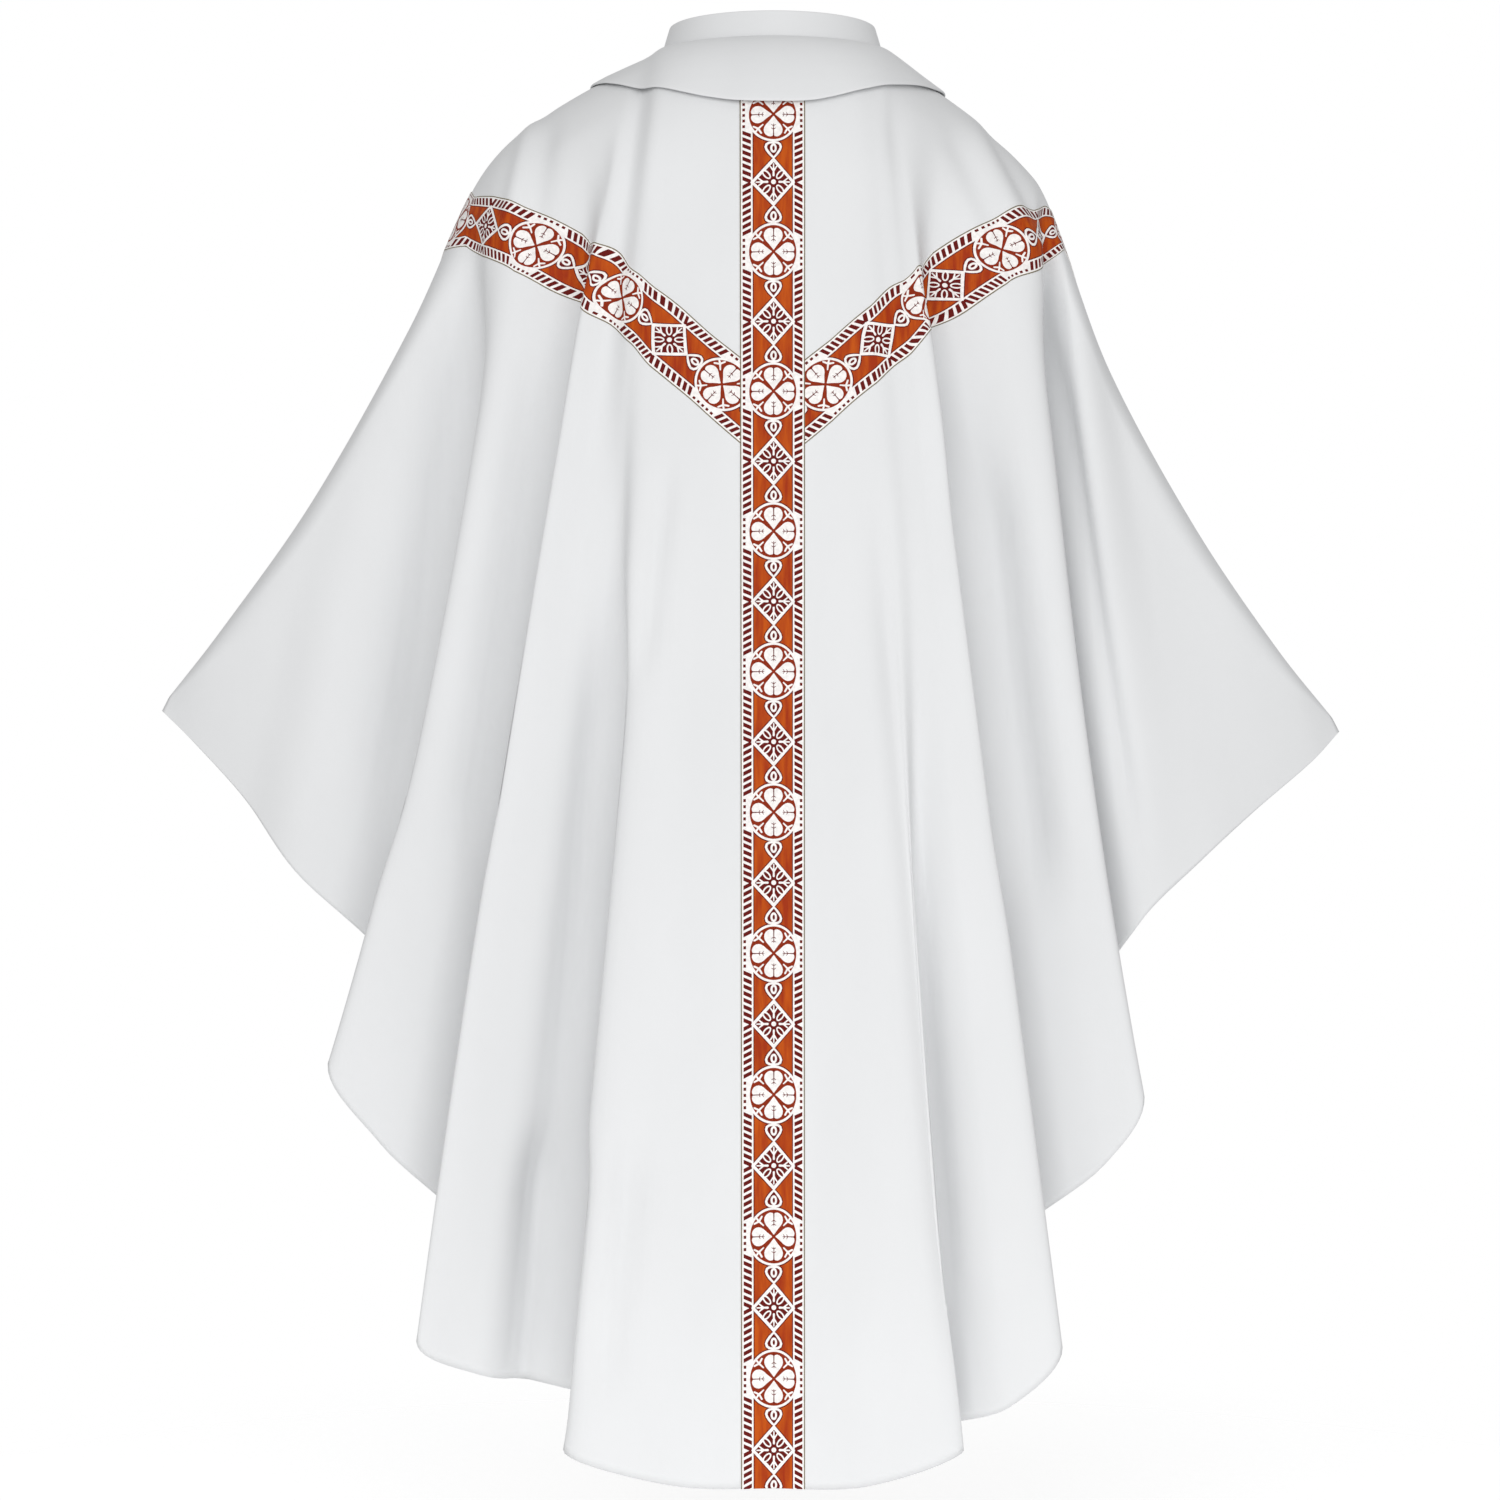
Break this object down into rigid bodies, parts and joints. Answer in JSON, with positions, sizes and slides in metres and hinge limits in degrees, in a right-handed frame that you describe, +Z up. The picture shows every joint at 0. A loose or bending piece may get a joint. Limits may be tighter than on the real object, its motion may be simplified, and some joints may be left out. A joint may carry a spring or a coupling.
{
  "type": "chasuble",
  "caption": "Wide draped liturgical outer vestment with a stand and fall collar and patterned bands down the middle and over the shoulders.",
  "frame": {"origin": "centre of the neck opening, level with the seam that joins the collar to the body", "axes": "+Z up, +Y towards the wearer's chest so the back faces -Y, +X to the right as the back is seen"},
  "size_m": [1.134, 0.4519, 1.3616],
  "materials": {
    "body_cloth": "matt white smooth-woven cloth",
    "woven_band": "rust, maroon and white woven galloon, low sheen",
    "seam_tape": "plain white twill tape",
    "interlining": "stiff off-white woven interlining"
  },
  "bodies": {
    "root": {"back_column_orphrey": "woven_band", "back_hem_facing": "body_cloth", "back_left_arm_orphrey": "woven_band", "back_panel": "body_cloth", "back_right_arm_orphrey": "woven_band", "collar_fall": "body_cloth", "collar_fall_facing": "body_cloth", "collar_stand": "body_cloth", "collar_stand_facing": "body_cloth", "collar_stand_interlining": "interlining", "front_column_orphrey": "woven_band", "front_hem_facing": "body_cloth", "front_left_arm_orphrey": "woven_band", "front_panel": "body_cloth", "front_right_arm_orphrey": "woven_band", "left_shoulder_seam_tape": "seam_tape", "neck_seam_tape": "seam_tape", "right_shoulder_seam_tape": "seam_tape"}
  },
  "joints": []
}
